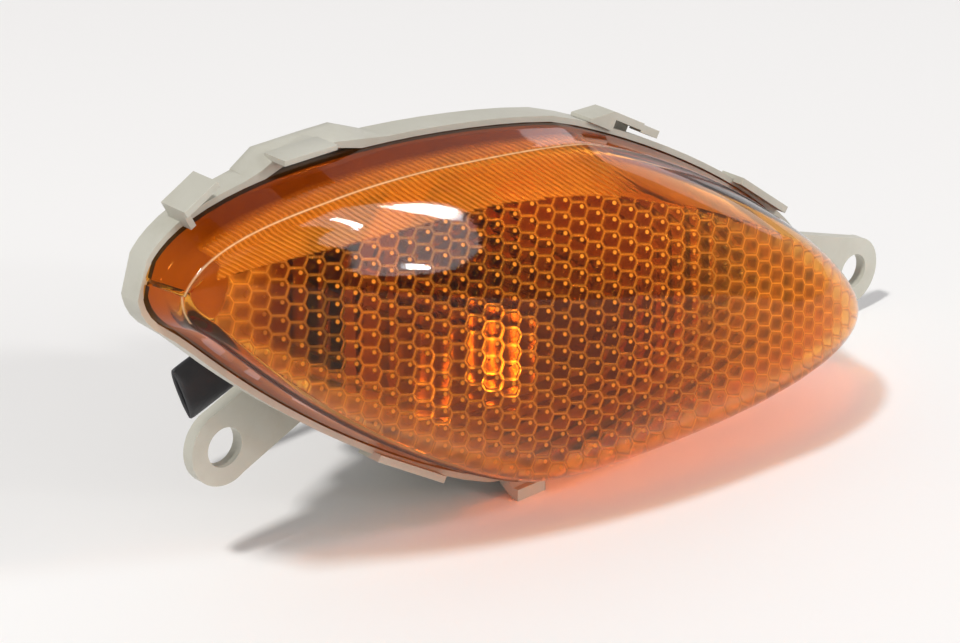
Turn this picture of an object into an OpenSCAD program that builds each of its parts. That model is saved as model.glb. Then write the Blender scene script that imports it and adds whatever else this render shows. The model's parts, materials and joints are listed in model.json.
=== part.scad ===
// Fairing turn signal for a motorcycle: snap-on honeycomb lens, moulded housing with two ears,
// reflector insert, bayonet bulb in a twist-out holder. Units mm. Z is up, the lens faces -Y,
// X runs along the lamp. The lamp stands on its lower hook and the rib behind it.

/* [Lens outline] */

// Left tip of the leaf, measured along its own axis
leaf_left = -70.5; // [-90:0.5:-50]
// Right tip of the leaf, measured along its own axis
leaf_right = 78.5; // [55:0.5:95]
// How far the leaf axis falls toward the right, degrees
leaf_tilt = 18; // [0:0.5:30]
// Highest point of the upper edge above the leaf axis
leaf_top = 33.2; // [20:0.2:45]
// Where along the leaf the upper edge is highest
leaf_top_at = 5; // [-30:0.5:40]
// Lowest point of the lower edge below the leaf axis
leaf_bottom = -25.6; // [-40:0.2:-15]
// Where along the leaf the lower edge is lowest
leaf_bottom_at = 10; // [-30:0.5:50]

/* [Lens body] */

// Height of the side wall in front of the rim
wall_h = 8; // [4:0.2:14]
// How far the side wall leans in over its height
wall_draft = 1.2; // [0:0.1:3]
// Height of the front face above the side wall
dome_h = 20; // [8:0.5:30]
// Where along the leaf the front face is highest
dome_at = 42; // [0:1:65]
// Wall thickness of the lens
lens_t = 2; // [1.2:0.1:3]
// Depth of one honeycomb pillow
cell_depth = 0.8; // [0:0.1:1.6]
// Pitch of the fine flutes on the upper wall
flute_pitch = 1.3; // [0.8:0.1:3]

/* [Housing] */

// Thickness of the rim band around the lens
band_t = 1; // [0.6:0.1:3]
// Depth of the rim band behind the lens seat
band_depth = 4.4; // [3:0.2:8]
// Depth of the tub behind the lens seat
tub_depth = 26; // [20:0.5:34]
// Wall thickness of the tub
tub_t = 2; // [1.2:0.1:3]
// Step from the lens outline to the tub wall
tub_inset = 4; // [3:0.5:8]

/* [Mounting ears] */

// Bore of each ear
ear_bore = 6.6; // [5:0.1:9]
// Outside diameter of each ear
ear_d = 12.8; // [10:0.2:18]
// Thickness of the ear plates
ear_t = 2.2; // [1.6:0.1:4]
// Depth of the ear face behind the lens seat
ear_back = 9.5; // [6:0.5:16]
// Left ear, along X from the middle of the leaf frame
ear_left_x = -44.4; // [-60:0.2:-30]
// Left ear, along Z from the middle of the leaf frame
ear_left_z = -11; // [-20:0.2:-4]
// Right ear, along X from the middle of the leaf frame
ear_right_x = 101.5; // [85:0.5:115]
// Right ear, along Z from the middle of the leaf frame
ear_right_z = -23.3; // [-32:0.2:-12]

/* [Bulb] */

// Bulb axis, along X from the middle of the leaf frame
bulb_x = 14; // [-10:0.5:30]
// Bulb axis, along Z from the middle of the leaf frame
bulb_z = 1; // [-8:0.5:10]
// Diameter of the bulb glass
glass_d = 18; // [15:0.5:20]
// Diameter of the bulb base
base_d = 15; // [15:0.1:15.2]

/* [Hidden] */

$fn = 48;

// Outline and height laws of the lens.
left_w = 4.5;
right_w = 7;
span = leaf_right - leaf_left;
mid_u = (leaf_right + leaf_left) / 2;
steps = 40;
tip = 0.6;
foot_z = -32.1;
vent_x = 38;
vent_z = 2;
origin_x = 20.38;
origin_y = 9.53;

function curve(t, p, q) = pow(1 - pow(min(max(t, 0), 1), p), 1 / q);
function w_top(u) = u < leaf_top_at
    ? left_w + (leaf_top - left_w) * curve((leaf_top_at - u) / (leaf_top_at - leaf_left), 1.35, 2)
    : right_w + (leaf_top - right_w) * curve((u - leaf_top_at) / (leaf_right - leaf_top_at), 1.5, 2);
function blunt(u) = let (d = min(max(u - leaf_left, 0), 6)) sqrt(12 * d - d * d);
function w_bottom(u) = u < leaf_bottom_at
    ? left_w - pow(pow((left_w - leaf_bottom)
        * curve((leaf_bottom_at - u) / (leaf_bottom_at - leaf_left), 1.45, 1.3), 4) + pow(blunt(u), 4), 0.25)
    : right_w + (leaf_bottom - right_w) * curve((u - leaf_bottom_at) / (leaf_right - leaf_bottom_at), 1.45, 1.3);
function crown(u) = dome_h * (u < dome_at
    ? curve((dome_at - u) / (dome_at - leaf_left), 2.3, 1)
    : curve((u - dome_at) / (leaf_right - dome_at), 2.2, 1.7));
function across(v) = v > 0 ? curve(v, 2.2, 1.7) : curve(-v, 2, 1.45);
function station(i) = mid_u - (span / 2 - tip) * cos(180 * i / steps);
function squeeze(u, inset) = mid_u + (u - mid_u) * (span - 2 * inset) / span;
function plan(u, w, h) = [u * cos(leaf_tilt) + w * sin(leaf_tilt), w * cos(leaf_tilt) - u * sin(leaf_tilt), h];
function skin(u, v, inset, drop) = let (m = (w_top(u) + w_bottom(u)) / 2, s = (w_top(u) - w_bottom(u)) / 2 - inset)
    plan(squeeze(u, inset), m + max(s, 0.05) * v, wall_h - drop + crown(u) * across(v));

outline = concat(
    [for (i = [0 : steps]) let (p = plan(station(i), w_top(station(i)), 0)) [p[0], p[1]]],
    [for (i = [steps : -1 : 0]) let (p = plan(station(i), w_bottom(station(i)), 0)) [p[0], p[1]]]);

// The honeycomb is laid out square to the way the lamp shines, swung left and up from its face.
aim = [0.618, 0.675, -0.4035];
aim_right = [0.7373, -0.6756, 0];
aim_up = [0.2726, 0.2975, 0.915];
cell_row = [2.58, -0.92];
cell_column = [0, 2.5];
g1 = (2 * cell_row + cell_column) / 3;
g2 = (cell_row + 2 * cell_column) / 3;
cols = 70;
rows = 86;
inner = wall_draft + lens_t;
inner_drop = 2.2;

function depth_in(x, z) = let (
    u0 = x * cos(leaf_tilt) - z * sin(leaf_tilt),
    w = x * sin(leaf_tilt) + z * cos(leaf_tilt),
    u = mid_u + (u0 - mid_u) * span / (span - 2 * inner),
    s = (w_top(u) - w_bottom(u)) / 2 - inner,
    v = s > 0.1 ? (w - (w_top(u) + w_bottom(u)) / 2) / s : 2)
    (u <= leaf_left || u >= leaf_right || abs(v) >= 1) ? wall_h - inner_drop
    : wall_h - inner_drop + crown(u) * across(v);
function on_ray(a, t) = a[0] * aim_right + a[1] * aim_up + t * aim;
function meet(a, lo, hi, n) = n == 0 ? (lo + hi) / 2 : let (t = (lo + hi) / 2, p = on_ray(a, t))
    -p[1] > depth_in(p[0], p[2]) ? meet(a, t, hi, n - 1) : meet(a, lo, t, n - 1);
function start(a, h) = (-h - a[0] * aim_right[1] - a[1] * aim_up[1]) / aim[1];
function across_at(x, z) = let (
    u = x * cos(leaf_tilt) - z * sin(leaf_tilt),
    w = x * sin(leaf_tilt) + z * cos(leaf_tilt),
    s = (w_top(u) - w_bottom(u)) / 2 - inner)
    (u < leaf_left + 9 || u > leaf_right - 5 || s < 1) ? 2 : (w - (w_top(u) + w_bottom(u)) / 2) / s;
function cell_point(c, n) = let (
    k = c - floor(n / 2),
    a = [-55.1, -58.4] + k * g1 + n * g2,
    t = meet(a, start(a, 42), start(a, wall_h - inner_drop), 12),
    p = on_ray(a, t),
    v = across_at(p[0], p[2]),
    u = p[0] * cos(leaf_tilt) - p[2] * sin(leaf_tilt),
    pillow = (k - n) % 3 == 0 && v > -0.92 && v < 0.7 + 0.0012 * (u + 70),
    q = pillow ? on_ray(a, t + cell_depth) : p)
    [q[0], q[2], -q[1]];

// Places what is drawn in the leaf frame (x, height, forward) into the world.
module in_frame() {
    translate([-origin_x, -origin_y, -foot_z])
        rotate([90, 0, 0])
            children();
}

module slab(from, to) {
    translate([0, 0, from])
        linear_extrude(height = to - from)
            children();
}

module leaf(grow) {
    offset(delta = grow)
        polygon(outline);
}

module tub_plan(inset, left, top) {
    intersection() {
        leaf(-inset);
        translate([left, -60])
            square([160, 60 + top]);
    }
}

// Stands on the rim at x, z with its own X pointing outward at the given angle.
module at_rim(x, z, angle) {
    translate([x, z, 0])
        rotate([0, 0, angle])
            children();
}

// A plate that overhangs the rim on a leg at its back, for one lens tab to snap under.
module catch(x, z, angle, width, reach, from, to) {
    at_rim(x, z, angle) {
        translate([0.5, -width / 2, from])
            cube([reach - 0.5, width, 1.4]);
        translate([reach - 1.2, -width / 2, from])
            cube([1.2, width, to - from]);
    }
}

module ear_plate(x, z, angle, length) {
    slab(-ear_back - ear_t, -ear_back)
        translate([x, z]) {
            circle(d = ear_d);
            rotate([0, 0, angle])
                translate([0, 0.1 - ear_d / 2])
                    square([length, ear_d - 0.2]);
        }
}

module ear_hole(x, z) {
    translate([x, z, -ear_back - ear_t - 1])
        cylinder(h = ear_t + 2, d = ear_bore);
}

module boss(x, z, from) {
    translate([x, z, from])
        difference() {
            cylinder(h = -5.3 - from, r = 3.6);
            translate([0, 0, 3])
                cylinder(h = 30, r = 1.3);
        }
}

// The rim swells outward between the two catches of the upper edge.
module swell() {
    hull() {
        slab(0, 1)
            polygon([[-47, 34], [-46, 36.4], [-42, 37.2], [-32, 37.3], [-24, 36.8], [-22, 34]]);
        slab(-band_depth, -3)
            polygon([[-47, 34], [-46, 36.8], [-42, 38.5], [-33, 38.9], [-27, 38.7], [-21, 36.8], [-20, 34]]);
    }
}

module foot_hook() {
    hull() {
        translate([4.7, -29.9, -1])
            cube([6.1, 1.6, 1.4]);
        translate([4.7, foot_z, 2.6])
            cube([6.1, 1, 1.4]);
    }
    translate([4.7, foot_z, 2.9])
        cube([6.1, 2, 1.1]);
}

module catches() {
    catch(-55.4, 33.9, 118, 6.8, 4.4, -1.5, 4);
    at_rim(-55.4, 33.9, 118)
        translate([0.5, 2.4, -1.5])
            cube([3.4, 1, 4.6]);
    catch(-37, 35.9, 90, 10, 2.6, -0.8, 4);
    catch(30, 23.8, 61, 7, 3.5, -3, 1.6);
    at_rim(30, 23.8, 61) {
        hull() {
            translate([0.4, 3.3, -3])
                cube([3.1, 1, 4.6]);
            translate([0.4, 8, -3])
                cube([0.6, 1, 4.6]);
        }
        translate([2, -7.6, -1])
            cube([1.3, 4.4, 2.6]);
    }
    catch(62, 4.5, 54, 14, 1.9, -2, 3);
    catch(-16.2, -18.4, 238.7, 16, 1.9, -2, 2.8);
}

module housing() {
    color([0.76, 0.75, 0.7])
        in_frame() {
            difference() {
                union() {
                    slab(-band_depth, 1)
                        leaf(band_t + 0.2);
                    swell();
                    slab(-12.5, -3)
                        tub_plan(tub_inset, -43.5, 29);
                    slab(-18.6, -12)
                        tub_plan(tub_inset + 1.5, -29, 29);
                    slab(-tub_depth, -18)
                        tub_plan(tub_inset + 5, -18, 60);
                    ear_plate(ear_left_x, ear_left_z, 23, 24);
                    ear_plate(ear_right_x, ear_right_z, 162, 36);
                    translate([bulb_x, bulb_z, -tub_depth - 1.5])
                        cylinder(h = 3, r = 15.6);
                    translate([2, foot_z, -tub_depth])
                        cube([58, 20, 2.4]);
                    translate([2, foot_z, -tub_depth])
                        cube([2.4, 15.5, 9]);
                    translate([57.6, foot_z, -tub_depth])
                        cube([2.4, 17, 9]);
                    catches();
                    foot_hook();
                }
                slab(-1.2, 2)
                    leaf(0.2);
                slab(-12.5 + tub_t, 0)
                    tub_plan(tub_inset + tub_t, -43.5 + tub_t, 29 - tub_t);
                slab(-18.6 + tub_t, 0)
                    tub_plan(tub_inset + 1.5 + tub_t, -29 + tub_t, 29 - tub_t);
                slab(-tub_depth + tub_t, 0)
                    tub_plan(tub_inset + 5 + tub_t, -18 + tub_t, 60);
                translate([bulb_x, bulb_z, -tub_depth - 2])
                    cylinder(h = 5, r = 11.2);
                translate([bulb_x, bulb_z, -tub_depth - 2])
                    for (a = [0, 120, 240])
                        rotate([0, 0, a])
                            translate([0, -2.6, 0])
                                cube([13.2, 5.2, 5]);
                ear_hole(ear_left_x, ear_left_z);
                ear_hole(ear_right_x, ear_right_z);
                translate([vent_x, vent_z, -tub_depth - 1])
                    cylinder(h = 4, r = 2);
            }
            boss(-20, 12, -17.4);
            boss(48, -6, -tub_depth + 1);
            translate([vent_x, vent_z, -tub_depth - 4])
                difference() {
                    cylinder(h = 4.2, r = 3.4);
                    translate([0, 0, -1])
                        cylinder(h = 6, r = 2);
                }
        }
}

module lens_outer() {
    vs = [-1, -0.93, -0.82, -0.66, -0.48, -0.28, -0.06, 0.16, 0.36, 0.54, 0.7, 0.83, 0.93, 1];
    loop = len(vs) + 2;
    points = [for (i = [0 : steps]) let (u = station(i)) each concat(
        [plan(u, w_bottom(u), 0)],
        [for (v = vs) skin(u, v, wall_draft, 0)],
        [plan(u, w_top(u), 0)])];
    faces = concat(
        [for (i = [0 : steps - 1], j = [0 : loop - 1]) let (k = (j + 1) % loop)
            each [[i * loop + j, i * loop + k, (i + 1) * loop + k],
                [i * loop + j, (i + 1) * loop + k, (i + 1) * loop + j]]],
        [for (j = [1 : loop - 2]) [0, j + 1, j]],
        [for (j = [1 : loop - 2]) [steps * loop, steps * loop + j, steps * loop + j + 1]]);
    polyhedron(points = points, faces = faces, convexity = 6);
}

module lens_cavity() {
    n1 = cols + 1;
    top = [for (n = [0 : rows], c = [0 : cols]) cell_point(c, n)];
    edge = concat(
        [for (c = [0 : cols - 1]) c],
        [for (n = [0 : rows - 1]) n * n1 + cols],
        [for (c = [cols : -1 : 1]) rows * n1 + c],
        [for (n = [rows : -1 : 1]) n * n1]);
    m = len(top);
    e = len(edge);
    points = concat(top, [for (k = edge) [top[k][0], top[k][1], -1]]);
    faces = concat(
        [for (n = [0 : rows - 1], c = [0 : cols - 1]) let (a = n * n1 + c, b = a + 1, d = a + n1, f = d + 1)
            each n % 2 == 0 ? [[a, d, b], [b, d, f]] : [[a, f, b], [a, d, f]]],
        [for (k = [0 : e - 1]) let (k2 = (k + 1) % e) each [[edge[k], edge[k2], m + k2], [edge[k], m + k2, m + k]]],
        [[for (k = [0 : e - 1]) m + k]]);
    polyhedron(points = points, faces = faces, convexity = 10);
}

// Zigzag strip that lines the inside of the upper wall with fine flutes.
module flutes() {
    count = floor(118 / flute_pitch);
    ridge = [for (i = [0 : 2 * count]) let (u = -64 + i * flute_pitch / 2, d = i % 2 == 0 ? 2.1 : 2.55,
        p = plan(u, w_top(u) - d * (u < -50 ? 1.5 : 1.1), 0)) [p[0], p[1]]];
    back = [for (i = [2 * count : -4 : 0]) let (u = -64 + i * flute_pitch / 2,
        p = plan(u, w_top(u) - 1, 0)) [p[0], p[1]]];
    slab(3.2, wall_h - inner_drop + 0.4)
        polygon(concat(ridge, back));
}

module lens_tab(x, z, angle, width, reach) {
    at_rim(x, z, angle) {
        hull() {
            translate([-1.4, -width / 2, 1.3])
                cube([1.2, width, 2.2]);
            translate([reach - 0.4, -width / 2, 1.3])
                cube([0.4, width, 1.6]);
        }
        hull() {
            translate([-0.9, 0, 3])
                sphere(r = 1.1, $fn = 12);
            translate([-1.2, 0, 5.2])
                sphere(r = 1.2, $fn = 12);
        }
    }
}

module lens() {
    color([0.93, 0.45, 0.06, 0.8])
        in_frame() {
            difference() {
                lens_outer();
                intersection() {
                    lens_cavity();
                    slab(-2, 60)
                        leaf(-lens_t);
                }
            }
            intersection() {
                flutes();
                slab(0, 12)
                    leaf(-0.8);
            }
            lens_tab(-55.4, 33.9, 118, 4, 2.6);
            lens_tab(-37, 35.9, 90, 8, 1.2);
            lens_tab(30, 23.8, 61, 5, 2.1);
            lens_tab(62, 4.5, 54, 10, 0.5);
            lens_tab(-16.2, -18.4, 238.7, 12, 0.5);
        }
}

module lens_gasket() {
    color([0.12, 0.12, 0.12])
        in_frame()
            slab(-1.2, 0)
                difference() {
                    leaf(-0.1);
                    leaf(-1.9);
                }
}

module reflector() {
    floor_h = -21.3;
    color([0.8, 0.8, 0.82])
        in_frame()
            difference() {
                intersection() {
                    translate([bulb_x, bulb_z, 0])
                        rotate_extrude($fn = 96)
                            polygon(concat(
                                [for (r = [9.6 : 2.4 : 28.8]) [r, floor_h + 1.2 + r * r / 60]],
                                [[31.1, -4], [39, -4], [39, -5.2], [30.9, -5.2]],
                                [for (r = [28.8 : -2.4 : 9.6]) [r, floor_h + r * r / 60]]));
                    union() {
                        slab(-30, -16)
                            tub_plan(tub_inset + tub_t + 5.3, -15.7, 60);
                        slab(-16.4, -9.8)
                            tub_plan(tub_inset + tub_t + 1.8, -26.7, 26.7);
                        slab(-10.2, 0)
                            tub_plan(tub_inset + tub_t + 0.3, -41.2, 26.7);
                    }
                }
                translate([-20, 12, -10])
                    cylinder(h = 8, r = 1.7);
                translate([48, -6, -10])
                    cylinder(h = 8, r = 1.7);
            }
}

module reflector_screw(x, z) {
    color([0.7, 0.7, 0.72])
        in_frame()
            translate([x, z, 0])
                difference() {
                    union() {
                        translate([0, 0, -4])
                            cylinder(h = 1.8, r = 2.9);
                        translate([0, 0, -14])
                            cylinder(h = 10.2, r = 1.25);
                    }
                    translate([-2, -0.35, -3])
                        cube([4, 0.7, 1]);
                    translate([-0.35, -2, -3])
                        cube([0.7, 4, 1]);
                }
}

module reflector_screw_left() {
    reflector_screw(-20, 12);
}

module reflector_screw_right() {
    reflector_screw(48, -6);
}

module on_bulb() {
    in_frame()
        translate([bulb_x, bulb_z, 0])
            children();
}

module bulb_glass() {
    r = glass_d / 2;
    w = 0.8;
    color([0.95, 0.97, 1, 0.5])
        on_bulb()
            rotate_extrude()
                polygon(concat(
                    [[6.4, -13.8], [6.4, -9]],
                    [for (a = [-36 : 9 : 81]) [r * cos(a), 2 + r * sin(a)]],
                    [[0, 2 + r], [0, 2 + r - w]],
                    [for (a = [81 : -9 : -36]) [(r - w) * cos(a), 2 + (r - w) * sin(a)]],
                    [[6.4 - w, -9], [6.4 - w, -13.8]]));
}

module bulb_base() {
    color([0.78, 0.68, 0.42])
        on_bulb() {
            difference() {
                translate([0, 0, -28])
                    cylinder(h = 15.2, d = base_d);
                translate([0, 0, -27])
                    cylinder(h = 16, d = base_d - 0.8);
                translate([0, 0, -29])
                    cylinder(h = 3, r = 4.2);
            }
            translate([base_d / 2 - 0.3, 0, -21])
                rotate([0, 90, 0])
                    cylinder(h = 1.2, r = 1);
            translate([-base_d / 2 + 0.3, 0, -21])
                rotate([0, -90, 0])
                    cylinder(h = 1.2, r = 1);
        }
}

module bulb_filament() {
    color([0.5, 0.5, 0.52])
        on_bulb() {
            translate([0, 0, -13.5])
                cylinder(h = 4.5, r = 2.6);
            for (s = [-1, 1])
                translate([3 * s, 0, 0]) {
                    translate([-0.9 * s, 0, -9.2])
                        cylinder(h = 10.4, r = 0.35);
                }
            translate([-2.6, 0, 1])
                rotate([0, 90, 0])
                    cylinder(h = 5.2, r = 0.55);
        }
}

module bulb_contact() {
    color([0.72, 0.72, 0.7])
        on_bulb()
            translate([0, 0, -28.8])
                cylinder(h = 1.6, r = 3);
}

module socket_shell() {
    color([0.75, 0.76, 0.75])
        on_bulb()
            difference() {
                translate([0, 0, -31])
                    cylinder(h = 17, r = 8.5);
                translate([0, 0, -32])
                    cylinder(h = 19, r = base_d / 2 + 0.3);
                translate([-12, -1.3, -22.4])
                    cube([24, 2.6, 12]);
            }
}

module socket_holder() {
    color([0.08, 0.08, 0.08])
        on_bulb()
            difference() {
                union() {
                    translate([0, 0, -tub_depth - 2.7])
                        cylinder(h = 8, r = 10.9);
                    translate([0, 0, -tub_depth - 4.9])
                        cylinder(h = 2.2, r = 15);
                    translate([0, 0, -42])
                        cylinder(h = 12, r = 12);
                    for (a = [60, 180, 300])
                        rotate([0, 0, a])
                            translate([9, -2.2, -tub_depth + 2.1])
                                cube([3.9, 4.4, 2.2]);
                    translate([-4, -15, -42])
                        cube([8, 30, 8]);
                    rotate([0, 0, 199])
                        translate([10, -2.9, -37])
                            cube([8, 5.8, 1.8]);
                }
                translate([0, 0, -40])
                    cylinder(h = 40, r = 8.6);
                translate([3, -1.5, -43])
                    cube([1, 3, 4]);
                translate([-4, -1.5, -43])
                    cube([1, 3, 4]);
            }
}

module socket_seal() {
    color([0.15, 0.15, 0.15])
        on_bulb()
            translate([0, 0, -tub_depth - 2.7])
                difference() {
                    cylinder(h = 1.2, r = 14.4);
                    translate([0, 0, -1])
                        cylinder(h = 4, r = 11.3);
                }
}

module contact_carrier() {
    color([0.5, 0.3, 0.16])
        on_bulb()
            translate([0, 0, -32.6])
                difference() {
                    cylinder(h = 1.4, r = 7.4);
                    translate([0, 0, -1])
                        cylinder(h = 4, r = 1.6);
                }
}

module contact_spring() {
    color([0.7, 0.7, 0.72])
        on_bulb()
            translate([0, 0, -40])
                linear_extrude(height = 7.3, twist = -1440, slices = 96)
                    translate([5, 0])
                        circle(r = 0.5, $fn = 10);
}

module contact_button() {
    color([0.78, 0.68, 0.42])
        on_bulb() {
            translate([0, 0, -31.2])
                cylinder(h = 2.4, r = 2.4);
            translate([0, 0, -38])
                cylinder(h = 6.9, r = 1.4);
        }
}

module live_terminal() {
    color([0.8, 0.72, 0.45])
        on_bulb()
            translate([3.1, -1.3, -47])
                cube([0.8, 2.6, 9]);
}

module earth_terminal() {
    color([0.75, 0.76, 0.75])
        on_bulb()
            translate([-3.9, -1.3, -47])
                cube([0.8, 2.6, 9]);
}

module wire_sleeve() {
    color([0.06, 0.06, 0.06])
        on_bulb()
            rotate([0, 0, 199])
                translate([12.3, 0, -36.1])
                    rotate([0, 90, 0])
                        difference() {
                            union() {
                                translate([-1.6, -3.4, 0])
                                    cube([3.2, 6.8, 35]);
                                for (s = [-1, 1])
                                    translate([0, 3.4 * s, 0])
                                        cylinder(h = 35, r = 1.6);
                            }
                            translate([-1, -3.4, -1])
                                cube([2, 6.8, 37]);
                            for (s = [-1, 1])
                                translate([0, 3.4 * s, -1])
                                    cylinder(h = 37, r = 1);
                        }
}

module breather_cap() {
    color([0.1, 0.1, 0.1])
        in_frame()
            translate([vent_x, vent_z, -tub_depth - 9])
                difference() {
                    cylinder(h = 8, r = 5);
                    translate([0, 0, 1.2])
                        cylinder(h = 8, r = 3.5);
                    translate([-6, -0.8, 7])
                        cube([12, 1.6, 2]);
                }
}

module breather_filter() {
    color([0.85, 0.85, 0.8])
        in_frame()
            translate([vent_x, vent_z, -tub_depth - 7.7])
                cylinder(h = 3.5, r = 3.3);
}

housing();
lens();
lens_gasket();
reflector();
reflector_screw_left();
reflector_screw_right();
bulb_glass();
bulb_base();
bulb_filament();
bulb_contact();
socket_shell();
socket_holder();
socket_seal();
contact_carrier();
contact_spring();
contact_button();
live_terminal();
earth_terminal();
wire_sleeve();
breather_cap();
breather_filter();
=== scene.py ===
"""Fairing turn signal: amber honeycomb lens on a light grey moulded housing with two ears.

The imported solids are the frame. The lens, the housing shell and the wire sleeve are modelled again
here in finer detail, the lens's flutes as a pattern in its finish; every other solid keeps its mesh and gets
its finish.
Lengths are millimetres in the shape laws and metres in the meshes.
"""
import json
import math

import bmesh
import bpy
from mathutils import Matrix, Vector

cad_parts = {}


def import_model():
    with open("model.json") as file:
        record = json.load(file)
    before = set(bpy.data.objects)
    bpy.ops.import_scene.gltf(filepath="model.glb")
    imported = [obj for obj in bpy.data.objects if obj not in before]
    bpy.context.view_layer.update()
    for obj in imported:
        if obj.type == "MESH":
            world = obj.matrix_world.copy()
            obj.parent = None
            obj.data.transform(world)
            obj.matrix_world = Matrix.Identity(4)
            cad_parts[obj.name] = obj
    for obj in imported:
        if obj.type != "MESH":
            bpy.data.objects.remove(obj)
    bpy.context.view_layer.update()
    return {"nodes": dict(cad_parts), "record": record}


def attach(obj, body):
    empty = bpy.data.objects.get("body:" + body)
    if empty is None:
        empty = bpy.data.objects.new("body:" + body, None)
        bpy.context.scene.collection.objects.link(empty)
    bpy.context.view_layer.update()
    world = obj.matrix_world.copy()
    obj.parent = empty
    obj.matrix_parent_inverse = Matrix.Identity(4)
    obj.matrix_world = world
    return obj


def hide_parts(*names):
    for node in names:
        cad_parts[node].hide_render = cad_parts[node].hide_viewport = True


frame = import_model()
nodes = frame["nodes"]
MM = 0.001

# Sizes of the lens and the rim. u runs along the slanted leaf, w across it. They are the solids' own,
# but the dome is 0.01 mm lower, to stay inside them, and the upper wall rises further at the left.
LEAF_LEFT = -70.5
LEAF_RIGHT = 78.5
LEAF_TILT = math.radians(18)
LEAF_TOP = (33.2, 5.0)
LEAF_BOTTOM = (-25.6, 10.0)
TIP_LEFT_W = 4.5
TIP_RIGHT_W = 7.0
WALL_H = 8.0
WALL_DRAFT = 1.2
DOME_H = 19.99
DOME_AT = 42.0
LENS_T = 2.0
BAND_DEPTH = 4.4
SHOULDER_RISE = 3.4
SPAN = LEAF_RIGHT - LEAF_LEFT
MIDDLE = (LEAF_RIGHT + LEAF_LEFT) / 2
ORIGIN = Vector((20.38, 9.53, -32.1))

# The optics are laid out square to the way the lamp shines, swung left and up from its face.
AIM = Vector((0.618, 0.675, -0.4035)).normalized()
AIM_RIGHT = Vector((0.7373, -0.6756, 0.0)).normalized()
AIM_UP = AIM_RIGHT.cross(AIM)
CELL_START = (-55.1, -58.4)
CELL_ROW = (2.58, -0.92)
CELL_COLUMN = 2.5
CELL_CROWDING = (41.0, 0.019)
CELL_SPACING = 2.6
CELL_REACH = 2.4
PILLOW = 0.62
# Offset of the painted highlight spot from each cell middle, in millimetres.
PAINTED_GLINT_BESIDE = (0.55, 0.6)
FLUTE_PITCH = 0.635
FLUTE_SLOPE = math.radians(29.5)

# Steps of the lens mesh: stations along it, rows across its inside, and closer steps at each tip.
STATIONS = 410
INNER_ROWS = 186
TIP_STEPS = 24
TIP_REACH = 5.0

# What the housing shell does past its solid, on the drawing.
BAND_TRIM = (-35.0, 0.0454)
SWELL = (-47.0, -22.0, 36.0, 39.2)
SWELL_RISE = 1.1
BROKEN_EDGE = 0.32

# The way that the long soft lamp and the tubes in it lie.
SOFT_LAMP_LEVEL = (0.33, 0.317, 0.353)

# The sleeve's centre line starts at the holder and runs down to the left.
SLEEVE_FROM = Vector((14.0, 36.1, 1.0))
SLEEVE_TURN = math.radians(199)
SLEEVE_EXIT = 12.4
SLEEVE_LENGTH = 37.0
SLEEVE_HALF = 5.2
SLEEVE_WALL = 0.55


def curve(t, p, q):
    """Falls from 1 to 0 as t goes from 0 to 1: p shapes its start, q its end."""
    t = min(max(t, 0.0), 1.0)
    return (1 - t ** p) ** (1 / q)


def ease(k):
    """Rises smoothly from 0 to 1, and stays level outside."""
    k = min(max(k, 0.0), 1.0)
    return k * k * (3 - 2 * k)


def upper_edge(u):
    high, at = LEAF_TOP
    if u < at:
        return TIP_LEFT_W + (high - TIP_LEFT_W) * curve((at - u) / (at - LEAF_LEFT), 1.35, 2)
    return TIP_RIGHT_W + (high - TIP_RIGHT_W) * curve((u - at) / (LEAF_RIGHT - at), 1.5, 2)


def lower_edge(u):
    low, at = LEAF_BOTTOM
    if u < at:
        near_tip = min(max(u - LEAF_LEFT, 0.0), 6.0)
        round_tip = math.sqrt(12 * near_tip - near_tip ** 2)
        pointed = (TIP_LEFT_W - low) * curve((at - u) / (at - LEAF_LEFT), 1.45, 1.3)
        return TIP_LEFT_W - (pointed ** 4 + round_tip ** 4) ** 0.25
    return TIP_RIGHT_W + (low - TIP_RIGHT_W) * curve((u - at) / (LEAF_RIGHT - at), 1.45, 1.3)


def crown(u):
    """How far the dome swells past the wall along the middle of the leaf."""
    if u < DOME_AT:
        return DOME_H * curve((DOME_AT - u) / (DOME_AT - LEAF_LEFT), 2.3, 1)
    return DOME_H * curve((u - DOME_AT) / (LEAF_RIGHT - DOME_AT), 2.2, 1.7)


def across(u, v):
    """Fullness across the leaf, with a flatter upper shoulder toward the left that leaves a crease."""
    if v <= 0:
        return curve(-v, 2, 1.45)
    return curve(v, 2.2, 1.7 - 0.5 * ease((30 - u) / 40))


def in_leaf(u, w, h):
    """A point of the leaf frame, as x to the right, -y forward and z up, in millimetres from its middle."""
    x = u * math.cos(LEAF_TILT) + w * math.sin(LEAF_TILT)
    z = w * math.cos(LEAF_TILT) - u * math.sin(LEAF_TILT)
    return Vector((x, -h, z))


def world(point):
    return (point - ORIGIN) * MM


def plan_of(co):
    """The reverse of world: x, z up and h toward the front, in millimetres on the drawing."""
    point = co / MM + ORIGIN
    return point.x, point.z, -point.y


def on_leaf(u, side, inset, h):
    """A point of the rim outline, drawn in by an inset: side is 1 for the upper edge, -1 for the lower."""
    middle = (upper_edge(u) + lower_edge(u)) / 2
    half = max((upper_edge(u) - lower_edge(u)) / 2 - inset, 0.04)
    along = MIDDLE + (u - MIDDLE) * (SPAN - 2 * inset) / SPAN
    return in_leaf(along, middle + half * side, h)


def shoulder(u):
    """How much higher the upper wall stands than the lower one, up to its crease."""
    return SHOULDER_RISE * ease((u + 78) / 30) * (1 - ease((u + 25) / 50))


def on_wall(u, side, inset, h):
    return on_leaf(u, side, inset, h * (1 + shoulder(u) / WALL_H) if side > 0 else h)


def on_dome(u, v, inset, drop):
    lift = shoulder(u) * max((v - 0.55) / 0.45, 0) ** 1.5
    return on_leaf(u, v, inset, WALL_H - drop + lift + crown(u) * across(u, v))


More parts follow.
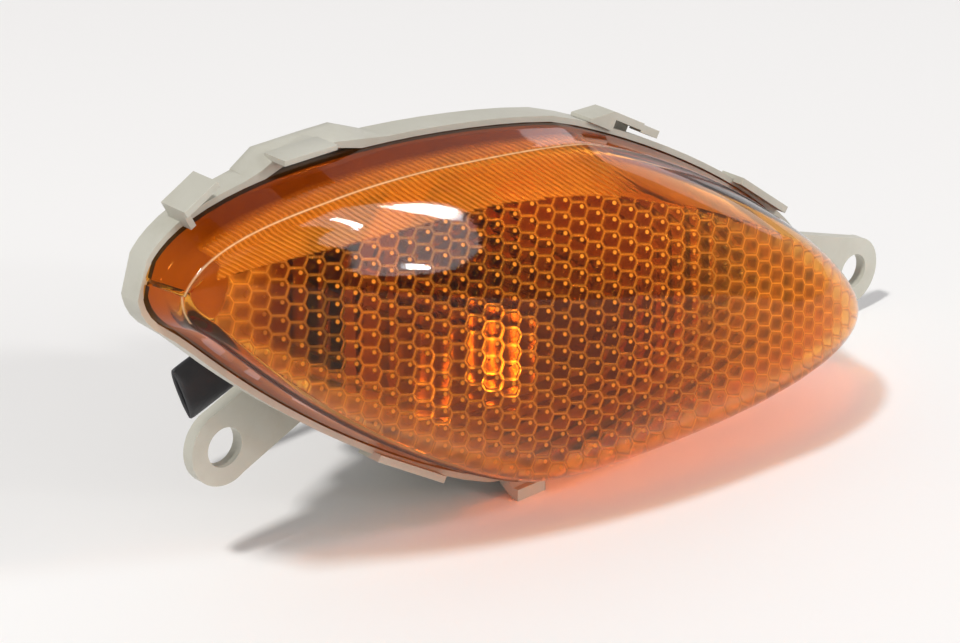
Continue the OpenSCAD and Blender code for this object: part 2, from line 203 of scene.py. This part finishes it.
def cell_shape(point):
    """Height of the honeycomb pillow at a point, from 0 on a groove to 1 in the middle of a cell."""
    right = point.dot(AIM_RIGHT)
    right += CELL_CROWDING[1] * max(right - CELL_CROWDING[0], 0) ** 2 - CELL_START[0]
    up = point.dot(AIM_UP) - CELL_START[1]
    column = round(right / CELL_ROW[0])
    nearest = CELL_REACH
    for c in (column - 1, column, column + 1):
        dx = right - c * CELL_ROW[0]
        height = up - c * CELL_ROW[1]
        dz = height - round(height / CELL_COLUMN) * CELL_COLUMN
        nearest = min(nearest, dx * dx + dz * dz)
    return 1 - nearest / CELL_REACH


def station(i):
    """Even steps along the leaf, drawn closer together toward its two rounded tips."""
    if i <= TIP_STEPS:
        return LEAF_LEFT + 0.02 + TIP_REACH * (i / TIP_STEPS) ** 2
    if i >= STATIONS - TIP_STEPS:
        return LEAF_RIGHT - 0.02 - TIP_REACH * ((STATIONS - i) / TIP_STEPS) ** 2
    return LEAF_LEFT + TIP_REACH + (SPAN - 2 * TIP_REACH) * (i - TIP_STEPS) / (STATIONS - 2 * TIP_STEPS)


class Socket:
    """A shader socket that takes part in arithmetic by adding Math nodes."""

    def __init__(self, sheet, link):
        self.sheet = sheet
        self.link = link

    def math(self, operation, *others):
        terms = {i: term for i, term in enumerate((self, *others))}
        return self.sheet.add("ShaderNodeMath", {"operation": operation}, terms)

    def __add__(self, other):
        return self.math("ADD", other)

    __radd__ = __add__

    def __sub__(self, other):
        return self.math("SUBTRACT", other)

    def __rsub__(self, other):
        return self.sheet.add("ShaderNodeMath", {"operation": "SUBTRACT"}, {0: other, 1: self})

    def __mul__(self, other):
        return self.math("MULTIPLY", other)

    __rmul__ = __mul__

    def __truediv__(self, other):
        return self.math("DIVIDE", other)

    def least(self, other):
        return self.math("MINIMUM", other)

    def most(self, other):
        return self.math("MAXIMUM", other)


class Finish:
    """One material, built node by node."""

    def __init__(self, name):
        self.material = bpy.data.materials.new(name)
        self.material.use_nodes = True
        self.tree = self.material.node_tree
        self.tree.nodes.clear()
        self.place = self.add("ShaderNodeTexCoord", {}, {}, "Object")

    def add(self, kind, settings, sockets, out=0):
        """Adds a node: its settings first, then the values or links of its sockets."""
        node = self.tree.nodes.new(kind)
        for key, value in settings.items():
            if key == "stops":
                ramp = node.color_ramp
                while len(ramp.elements) < len(value):
                    ramp.elements.new(0.5)
                for stop, (at, tone) in zip(ramp.elements, value):
                    stop.position = at
                    stop.color = (*tone, 1)
            else:
                setattr(node, key, value)
        for key, value in sockets.items():
            if isinstance(value, Socket):
                self.tree.links.new(value.link, node.inputs[key])
            elif isinstance(value, tuple) and len(value) == 3 and node.inputs[key].type == "RGBA":
                node.inputs[key].default_value = (*value, 1)
            else:
                node.inputs[key].default_value = value
        return Socket(self, node.outputs[out])

    def noise(self, scale, detail, roughness):
        return self.add("ShaderNodeTexNoise", {}, {
            "Vector": self.place, "Scale": scale, "Detail": detail, "Roughness": roughness}, "Fac")

    def blend(self, amount, low, high):
        return self.add("ShaderNodeMix", {"data_type": "RGBA"}, {0: amount, 6: low, 7: high}, 2)

    def ramp(self, value, stops):
        return self.add("ShaderNodeValToRGB", {"stops": stops}, {"Fac": value})

    def bump(self, height, strength, distance):
        return self.add("ShaderNodeBump", {}, {"Height": height, "Strength": strength, "Distance": distance})

    def along(self, direction):
        """How far a point lies along a direction, in millimetres from the middle of the leaf frame."""
        dot = self.add("ShaderNodeVectorMath", {"operation": "DOT_PRODUCT"},
                       {0: self.place, 1: tuple(direction)}, "Value")
        return dot / MM + ORIGIN.dot(direction)

    def step(self, value, low, high):
        """0 below low, 1 above high, and a smooth rise between them."""
        return self.add("ShaderNodeMapRange", {"interpolation_type": "SMOOTHSTEP"},
                        {"Value": value, 1: low, 2: high})

    def mark(self, name):
        """A value from 0 to 1 that the mesh carries to say where a moulded pattern is."""
        return self.add("ShaderNodeAttribute", {"attribute_name": name}, {}, "Fac")

    def surface(self, **values):
        names = {"colour": "Base Color", "roughness": "Roughness", "metallic": "Metallic", "ior": "IOR",
                 "clear": "Transmission Weight", "coat": "Coat Weight", "coat_roughness": "Coat Roughness",
                 "specular": "Specular IOR Level", "normal": "Normal", "scatter": "Subsurface Weight",
                 "scatter_radius": "Subsurface Radius", "scatter_scale": "Subsurface Scale"}
        return self.add("ShaderNodeBsdfPrincipled", {}, {names[k]: v for k, v in values.items()})

    def done(self, shader):
        node = self.tree.nodes.new("ShaderNodeOutputMaterial")
        self.tree.links.new(shader.link, node.inputs["Surface"])
        return self.material

    def lit_through(self, body, shade):
        """The body for the eye, and a clear tint for the light that casts its shadow."""
        through = self.add("ShaderNodeBsdfTransparent", {}, {"Color": shade})
        lamp = self.add("ShaderNodeLightPath", {}, {}, "Is Shadow Ray")
        return self.done(self.add("ShaderNodeMixShader", {}, {0: lamp, 1: body, 2: through}))


def darker(tone, shares):
    """A tone with each of its three parts brought down to a share."""
    return tuple(part * share for part, share in zip(tone, shares))


def moulded_grey():
    """Light warm grey moulded plastic: faint flow marks, a fine satin grain, scuffs that dull it."""
    m = Finish("housing plastic")
    flow = m.noise(38, 3, 0.5)
    fine = m.noise(900, 3, 0.6)
    tone = m.ramp(flow, [(0.25, (0.47, 0.455, 0.385)), (0.55, (0.53, 0.515, 0.445)),
                         (0.85, (0.57, 0.56, 0.49))])
    dust = m.ramp(m.noise(160, 6, 0.7), [(0.45, (1, 1, 1)), (0.72, (0.93, 0.92, 0.9))])
    colour = m.add("ShaderNodeMix", {"data_type": "RGBA", "blend_type": "MULTIPLY"},
                   {0: 1.0, 6: tone, 7: dust}, 2)
    grain = m.bump(fine * 0.6 + flow * 0.8, 0.12, 0.0002)
    return m.done(m.surface(colour=colour, roughness=0.34 + fine * 0.16, specular=0.45, scatter=0.08,
                            scatter_radius=(0.9, 0.8, 0.6), scatter_scale=0.0012, normal=grain))


def nearest_cells(m, beside=0.0, above=0.0):
    """Squared millimetres to the middles of the two nearest honeycomb cells, or to points next to them."""
    right = m.along(AIM_RIGHT) - beside
    crowded = (right - CELL_CROWDING[0]).most(0)
    right = right + crowded * crowded * CELL_CROWDING[1] - CELL_START[0]
    up = m.along(AIM_UP) - CELL_START[1] - above
    column = (right / CELL_ROW[0]).math("ROUND")
    first = second = None
    for side in (-1, 0, 1):
        c = column + side
        dx = right - c * CELL_ROW[0]
        rows_up = (up - c * CELL_ROW[1]) / CELL_COLUMN
        dz = (rows_up - rows_up.math("ROUND")).math("ABSOLUTE") * CELL_COLUMN
        near = dx * dx + dz * dz
        far = dx * dx + (CELL_COLUMN - dz) * (CELL_COLUMN - dz)
        if first is None:
            first, second = near, far
        else:
            second = first.most(near).least(second).least(far)
            first = first.least(near)
    return first, second


def amber_plastic(tint, shade):
    """Clear amber plastic, with honeycomb grooves and fine flutes where the mesh is marked for them.

    Lamps shine through it as amber light, the eye sees it refract. Painted light is mixed in as a lighter,
    rougher amber along the grooves, over the flutes, at small spots by the cells, along the crease and over
    the cells off the bowl's darkest part; painted shade darkens the cell middles, the cells over the bowl's
    darkest part and the lower outer wall.
    """
    m = Finish("amber lens")
    haze = m.noise(55, 4, 0.6)
    colour = m.blend(haze, tint, darker(tint, (0.93, 0.93, 0.93)))
    first, second = nearest_cells(m)
    border = (second - first) / (2 * CELL_SPACING)
    cell = m.mark("honeycomb")
    # Painted highlight: a small spot beside each cell middle.
    painted_glint = (1 - m.step(nearest_cells(m, *PAINTED_GLINT_BESIDE)[0], 0.03, 0.17)) * m.mark("glints")
    groove = (1 - m.step(border, 0.02, 0.3)) * cell
    middle = m.step(border, 0.2, 0.85) * cell
    phase = m.along(AIM_RIGHT) * math.sin(FLUTE_SLOPE) + m.along(AIM_UP) * math.cos(FLUTE_SLOPE)
    phase = phase / FLUTE_PITCH
    wave = (phase * (2 * math.pi)).math("SINE")
    fluted = m.mark("flutes")
    # Painted shade: the middle of each honeycomb cell is darkened.
    colour = m.blend(middle * 0.95, colour, darker(tint, (0.33, 0.2, 0.12)))
    # Painted shade over the cells where the bowl behind them is deepest.
    deep = m.mark("deep")
    colour = m.blend(deep * 0.85, colour, darker(tint, (0.17, 0.05, 0.015)))
    # Painted highlight: the honeycomb grooves are coloured a lighter amber.
    colour = m.blend(groove, colour, (1.0, 0.7, 0.3))
    # The flutes are a moulded pattern; their light and dark stripes in colour are painted light and shade.
    colour = m.blend((wave * 0.5 + 0.5) * fluted * 0.6, colour, darker(tint, (0.82, 0.6, 0.4)))
    # Painted shade on the lower part of the outer wall.
    colour = m.blend(m.mark("deep_rim") * 0.92, colour, (0.22, 0.05, 0.01))
    scratches = m.noise(420, 5, 0.75)
    relief = scratches * 0.004 + haze * 0.008 - groove * 0.08 + wave * fluted * 0.025
    normal = m.bump(relief, 1.0, 0.001)
    gloss = 0.015 + haze * 0.03 + fluted * 0.12 + cell * 0.03
    clear = m.surface(colour=colour, roughness=gloss, ior=1.26, clear=1.0, normal=normal)
    # A lighter, rougher amber, mixed in as painted light.
    painted_light_amber = m.surface(colour=m.blend(scratches, (1.0, 0.6, 0.24), (1.0, 0.74, 0.44)), roughness=0.3,
                       normal=normal)
    # Painted light: how much lighter amber goes on the grooves, the crease and the highlight spots.
    share = (groove * (0.6 - deep * 0.35)).most(m.mark("crease") * (0.3 + scratches * 0.5)).most(painted_glint * 0.9)
    # More painted light over the flutes, and over the cells off the bowl's darkest part, less in their
    # middles.
    share = share.most(fluted * (0.34 + wave * 0.15)).most((cell - deep) * (0.31 - middle * 0.15))
    return m.lit_through(m.add("ShaderNodeMixShader", {}, {0: share, 1: clear, 2: painted_light_amber}), shade)


def bulb_glass():
    m = Finish("bulb glass")
    haze = m.noise(90, 3, 0.5)
    clear = m.surface(colour=m.blend(haze, (0.97, 0.98, 0.98), (0.9, 0.92, 0.92)),
                      roughness=0.01 + haze * 0.03, ior=1.47, clear=1.0)
    return m.lit_through(clear, (0.95, 0.96, 0.96))


def plain(name, dark, light, roughness, metallic=0.0, grain=0.1, scale=300, spread=0.12, coat=0.0):
    """A finish whose tone, gloss and grain all drift a little over the piece."""
    m = Finish(name)
    drift = m.noise(scale * 0.18, 4, 0.6)
    fine = m.noise(scale * 3, 4, 0.65)
    colour = m.blend(drift * 0.6 + fine * 0.4, dark, light)
    normal = m.bump(fine, grain, 0.00015)
    return m.done(m.surface(colour=colour, roughness=roughness + (fine - 0.5) * spread, metallic=metallic,
                            coat=coat, coat_roughness=0.2, normal=normal))


FINISHES = {
    "housing_plastic": moulded_grey(),
    "amber_lens": amber_plastic((0.96, 0.41, 0.04), (0.64, 0.41, 0.22)),
    "black_rubber": plain("black rubber", (0.02, 0.02, 0.02), (0.04, 0.04, 0.04), 0.62),
    "reflector_coat": plain("metallised coat", (0.78, 0.78, 0.79), (0.88, 0.88, 0.89), 0.16, 1.0,
                            0.05, 120, 0.08),
    "screw_steel": plain("zinc plated steel", (0.5, 0.5, 0.5), (0.66, 0.66, 0.67), 0.32, 1.0, 0.2, 500),
    "bulb_glass": bulb_glass(),
    "brass": plain("dulled brass", (0.5, 0.36, 0.14), (0.72, 0.56, 0.27), 0.3, 1.0, 0.15, 400),
    "lamp_wire": plain("lamp wire", (0.3, 0.3, 0.31), (0.48, 0.48, 0.49), 0.4, 1.0, 0.15, 700),
    "solder": plain("solder", (0.42, 0.42, 0.42), (0.6, 0.6, 0.6), 0.42, 1.0, 0.4, 500),
    "plated_steel": plain("plated sheet steel", (0.55, 0.56, 0.55), (0.7, 0.71, 0.7), 0.28, 1.0, 0.12, 400),
    "black_plastic": plain("black plastic", (0.025, 0.025, 0.027), (0.05, 0.05, 0.055), 0.42, 0.0, 0.3, 600),
    "fibre_board": plain("fibre board", (0.17, 0.08, 0.035), (0.34, 0.19, 0.1), 0.66, 0.0, 0.5, 700),
    "sleeve_black": plain("sleeving", (0.012, 0.012, 0.015), (0.03, 0.03, 0.036), 0.34, 0.0,
                          0.35, 260, 0.2, 0.3),
    "filter_foam": plain("open foam", (0.5, 0.49, 0.45), (0.78, 0.77, 0.72), 0.85, 0.0, 1.0, 1500),
}


def link(name, bm, slot, sharp_from=None):
    """Closes a bmesh into a smooth piece of that name, with a finish; edges past an angle stay sharp."""
    mesh = bpy.data.meshes.new(name)
    bm.to_mesh(mesh)
    bm.free()
    piece = bpy.data.objects.new(name, mesh)
    bpy.context.scene.collection.objects.link(piece)
    mesh.materials.append(FINISHES[slot])
    mesh.shade_smooth()
    if sharp_from:
        mesh.set_sharp_from_angle(angle=math.radians(sharp_from))
    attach(piece, "root")
    return piece


def swept(count, rows, place, marks):
    """A grid of stations by rows that closes into a tube along its rows, with both ends filled.

    Each mark is a name and a law that gives a value from 0 to 1 at a station and row.
    """
    bm = bmesh.new()
    bmesh.ops.create_grid(bm, x_segments=count, y_segments=rows, size=1)
    layers = [(bm.verts.layers.float.new(name), law) for name, law in marks]
    for vert in bm.verts:
        i = round((vert.co.x + 1) / 2 * count)
        j = round((vert.co.y + 1) / 2 * rows) % rows
        vert.co = place(i, j)
        for layer, law in layers:
            vert[layer] = law(i, j)
    bmesh.ops.remove_doubles(bm, verts=bm.verts, dist=1e-7)
    bmesh.ops.holes_fill(bm, edges=bm.edges, sides=0)
    bmesh.ops.recalc_face_normals(bm, faces=bm.faces)
    return bm


def lens_shell():
    """The lens: smooth outside with a soft shoulder at the crease, honeycomb pillows inside."""
    # A row is a side, an inset and a height on a wall, or 0 and a place across on the dome.
    wall = [(-0.15, -0.4), (-0.1, 0.9), (0.3, 2.6), (0.6, 4.2), (0.9, 6.0), (1.02, 6.9), (1.08, 7.3),
            (1.16, 7.62), (1.28, 7.85), (1.42, 7.97)]
    dome = [-0.975, -0.94, -0.9, -0.84, -0.76, -0.66, -0.54, -0.4, -0.25, -0.09, 0.08, 0.24, 0.39, 0.53,
            0.65, 0.75, 0.83, 0.89, 0.935, 0.97]
    outside = [(-1, *p) for p in wall] + [(0, v) for v in dome] + [(1, *p) for p in reversed(wall)]
    back = [(2.0, 0.0), (2.5, 2.4), (2.9, 4.4), (3.1, 5.4)]
    last = math.pi / 2 * 0.97
    hollow = [0.99 * math.sin(last * (1 - 2 * k / INNER_ROWS)) / math.sin(last)
              for k in range(INNER_ROWS + 1)]
    inside = [(1, *p) for p in back] + [(0, v) for v in hollow] + [(-1, *p) for p in reversed(back)]
    loop = outside + inside
    edge = len(outside)

    def patterned(u):
        """How far up the inside the honeycomb reaches."""
        return 0.76 + 0.09 * (u + 70) / 150 - 0.3 * max((-15 - u) / 45, 0) ** 1.6

    def is_cell(i, j):
        u = station(i)
        row = loop[j]
        inner = j >= edge and not row[0] and -0.97 < row[1] < patterned(u)
        return float(inner and LEAF_LEFT + 6 < u < LEAF_RIGHT - 3)

    def is_flute(i, j):
        u = station(i)
        row = loop[j]
        walled = row[0] == 1 and row[2] > 3
        inner = j >= edge and (walled or (not row[0] and row[1] >= patterned(u)))
        return min(max((14 - u) / 14, 0), 1) if inner and u > -66 else 0.0

    def is_painted_rim_shade(i, j):
        # Painted shade on the lower outer wall, fading in from the left tip.
        row = loop[j]
        return ease((station(i) + 71) / 8) if j < edge and row[0] and row[2] < 4.3 else 0.0

    def is_crease_painted_highlight(i, j):
        # Marks the crease for a painted highlight line.
        u = station(i)
        row = loop[j]
        upper = row[0] == 1 or (row[0] == -1 and u < LEAF_LEFT + 3)
        return 1 - ease((u + 5) / 30) if j < edge and upper and 7.8 < row[2] < 7.9 else 0.0

    def is_painted_cavity_shade(i, j):
        """Painted shade, darkest where the bowl behind the honeycomb is deepest."""
        u, v = station(i), loop[j][1]
        return is_cell(i, j) * ease((u + 64) / 8) * (1 - ease((u - 8) / 38)) * ease((v + 0.92) / 0.3)

    def is_painted_glint(i, j):
        # Where the painted highlight spots sit on the cells.
        u = station(i)
        return is_cell(i, j) * (1 - ease((u - 8) / 30)) * ease((u + 62) / 12)

    def place(i, j):
        u = station(i)
        row = loop[j]
        if row[0]:
            return world(on_wall(u, *row))
        v = row[1]
        if j < edge:
            return world(on_dome(u, v, WALL_DRAFT + 0.2, 0))
        point = on_dome(u, v, WALL_DRAFT + LENS_T, 2.2)
        if is_cell(i, j):
            flatter = 1 - 0.8 * ease((u - 25) / 25)
            point = point + AIM * (PILLOW * flatter * cell_shape(point))
        return world(point)

    # The honeycomb and flutes marks carry the lens's moulded pattern; the other marks place painted light
    # and shade.
    marks = (("honeycomb", is_cell), ("flutes", is_flute), ("deep_rim", is_painted_rim_shade),
             ("crease", is_crease_painted_highlight), ("glints", is_painted_glint), ("deep", is_painted_cavity_shade))
    piece = link("lens_shell", swept(STATIONS, len(loop), place, marks), "amber_lens")
    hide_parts("lens")


def wire_sleeve():
    """Soft sleeving squashed nearly flat, creased along its edge, its mouth a thin slit."""
    steps = 26
    sides = 40
    along = Vector((math.cos(SLEEVE_TURN), 0, math.sin(SLEEVE_TURN)))
    side = Vector((-math.sin(SLEEVE_TURN), 0, math.cos(SLEEVE_TURN)))
    back = Vector((0, 1, 0))
    bm = bmesh.new()
    bmesh.ops.create_grid(bm, x_segments=steps, y_segments=sides, size=1)
    for vert in bm.verts:
        i = round((vert.co.x + 1) / 2 * steps)
        j = round((vert.co.y + 1) / 2 * sides) % sides
        t = i / steps
        a = 2 * math.pi * j / sides
        half = SLEEVE_HALF + 0.15 * math.sin(5 * t + 1)
        thin = 0.9 + 0.5 * (1 - t) + 0.25 * math.sin(7 * t)
        x = math.copysign(abs(math.cos(a)) ** 0.8, math.cos(a)) * half
        y = math.copysign(abs(math.sin(a)) ** 0.7, math.sin(a)) * thin * (1 - 0.25 * math.cos(a) ** 2)
        y += 0.25 * math.sin(6 * t) * math.cos(a) * t
        vert.co = world(SLEEVE_FROM + along * (SLEEVE_EXIT + SLEEVE_LENGTH * t) + side * x + back * y)
    bmesh.ops.remove_doubles(bm, verts=bm.verts, dist=1e-7)
    bmesh.ops.recalc_face_normals(bm, faces=bm.faces)
    piece = link("sleeve_tube", bm, "sleeve_black")
    wall = piece.modifiers.new("wall", "SOLIDIFY")
    wall.thickness = SLEEVE_WALL * MM
    wall.offset = -1
    soft = piece.modifiers.new("soft", "SUBSURF")
    soft.levels = 1
    soft.render_levels = 1
    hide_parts("wire_sleeve")


def housing_shell():
    """The moulded housing from its solid: edges broken, the band slimmer at the left, the swell fuller."""
    bm = bmesh.new()
    bm.from_mesh(nodes["housing"].data)
    bmesh.ops.remove_doubles(bm, verts=bm.verts, dist=1e-6)
    trim_from, slope = BAND_TRIM
    left, right, foot, top = SWELL
    for vert in bm.verts:
        x, z, h = plan_of(vert.co)
        if x < trim_from and abs(h + BAND_DEPTH) < 0.05:
            vert.co.y -= (trim_from - x) * slope * MM
        if left < x < right and z > foot:
            raised = SWELL_RISE * ease(min(x - left, right - x) / 6)
            vert.co.z += min(raised, max(top - z, 0)) * MM
    bmesh.ops.dissolve_limit(bm, angle_limit=math.radians(0.8), verts=bm.verts, edges=bm.edges)
    piece = link("housing_shell", bm, "housing_plastic", sharp_from=35)
    soft = piece.modifiers.new("edges", "BEVEL")
    soft.width = BROKEN_EDGE * MM
    soft.segments = 2
    soft.limit_method = "ANGLE"
    soft.angle_limit = math.radians(38)
    soft.use_clamp_overlap = True
    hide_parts("housing")


def carried_over():
    """Every other solid keeps its mesh and takes its finish from its record slot."""
    for entry in frame["record"]["subparts"]:
        node = nodes[entry["node"]]
        finish = FINISHES[entry["material_slot"]]
        if not node.material_slots:
            node.data.materials.append(finish)
        for place in node.material_slots:
            place.material = finish


def floor():
    """A wide sheet of white card under the part."""
    bm = bmesh.new()
    bmesh.ops.create_grid(bm, x_segments=4, y_segments=4, size=2.5)
    bmesh.ops.translate(bm, vec=(0, 0, -0.00005), verts=bm.verts)
    mesh = bpy.data.meshes.new("floor")
    bm.to_mesh(mesh)
    bm.free()
    piece = bpy.data.objects.new("floor", mesh)
    bpy.context.scene.collection.objects.link(piece)
    m = Finish("white card")
    tone = m.noise(6, 2, 0.5)
    colour = m.blend(tone, (0.88, 0.87, 0.865), (0.9, 0.89, 0.885))
    mesh.materials.append(m.done(m.surface(colour=colour, roughness=0.7, specular=0.2)))


def lamp(name, toward, distance, size, power, tone=(1, 1, 1), level=None):
    """A soft lamp, round or oval, that looks at the part from a direction; level is how its length runs."""
    light = bpy.data.lights.new(name, "AREA")
    light.shape = "ELLIPSE"
    light.size, light.size_y = size
    light.energy = power
    light.color = tone
    piece = bpy.data.objects.new(name, light)
    bpy.context.scene.collection.objects.link(piece)
    back = Vector(toward).normalized()
    along = Vector(level or (0, 1, 0))
    along = (along - back * along.dot(back)).normalized()
    turn = Matrix((along, back.cross(along), back)).transposed().to_4x4()
    piece.matrix_world = Matrix.Translation(Vector((0, -0.01, 0.03)) + back * distance) @ turn


def room():
    """Even light from all round."""
    sky = bpy.data.worlds.new("room")
    bpy.context.scene.world = sky
    sky.use_nodes = True
    back = sky.node_tree.nodes["Background"]
    back.inputs["Color"].default_value = (0.98, 0.985, 1.0, 1)
    back.inputs["Strength"].default_value = 0.38


def camera():
    """The photograph's view: 120 mm lens, half a metre away, to the left of the lamp and above it."""
    lens = bpy.data.cameras.new("camera")
    lens.sensor_width = 36
    lens.lens = 120
    lens.clip_start = 0.01
    lens.clip_end = 20
    piece = bpy.data.objects.new("camera", lens)
    bpy.context.scene.collection.objects.link(piece)
    right = Vector((0.73728, -0.67559, 0.0))
    up = Vector((0.27263, 0.29752, 0.91496))
    back = right.cross(up)
    turn = Matrix((right, up, back)).transposed().to_4x4()
    piece.matrix_world = Matrix.Translation(Vector((-0.33439, -0.35222, 0.2371))) @ turn
    bpy.context.scene.camera = piece


camera()
room()
floor()
lamp("ceiling lamp", (-0.5, -0.15, 0.85), 2.0, (0.22, 0.22), 24.5, (1.0, 0.985, 0.96))
lamp("long soft lamp", (0.429, -0.819, 0.381), 3.0, (1.8, 0.52), 17.0, level=SOFT_LAMP_LEVEL)
lamp("left tube", (0.382, -0.878, 0.288), 2.95, (0.17, 0.13), 7.0, level=SOFT_LAMP_LEVEL)
lamp("right tube", (0.538, -0.69, 0.484), 2.95, (0.36, 0.24), 16.0, level=SOFT_LAMP_LEVEL)
lamp("pale wall", (0.88, 0.36, 0.24), 2.0, (1.2, 0.7), 2.6, (1.0, 0.9, 0.92))
lens_shell()
wire_sleeve()
housing_shell()
carried_over()

bpy.context.scene.view_settings.view_transform = "Standard"
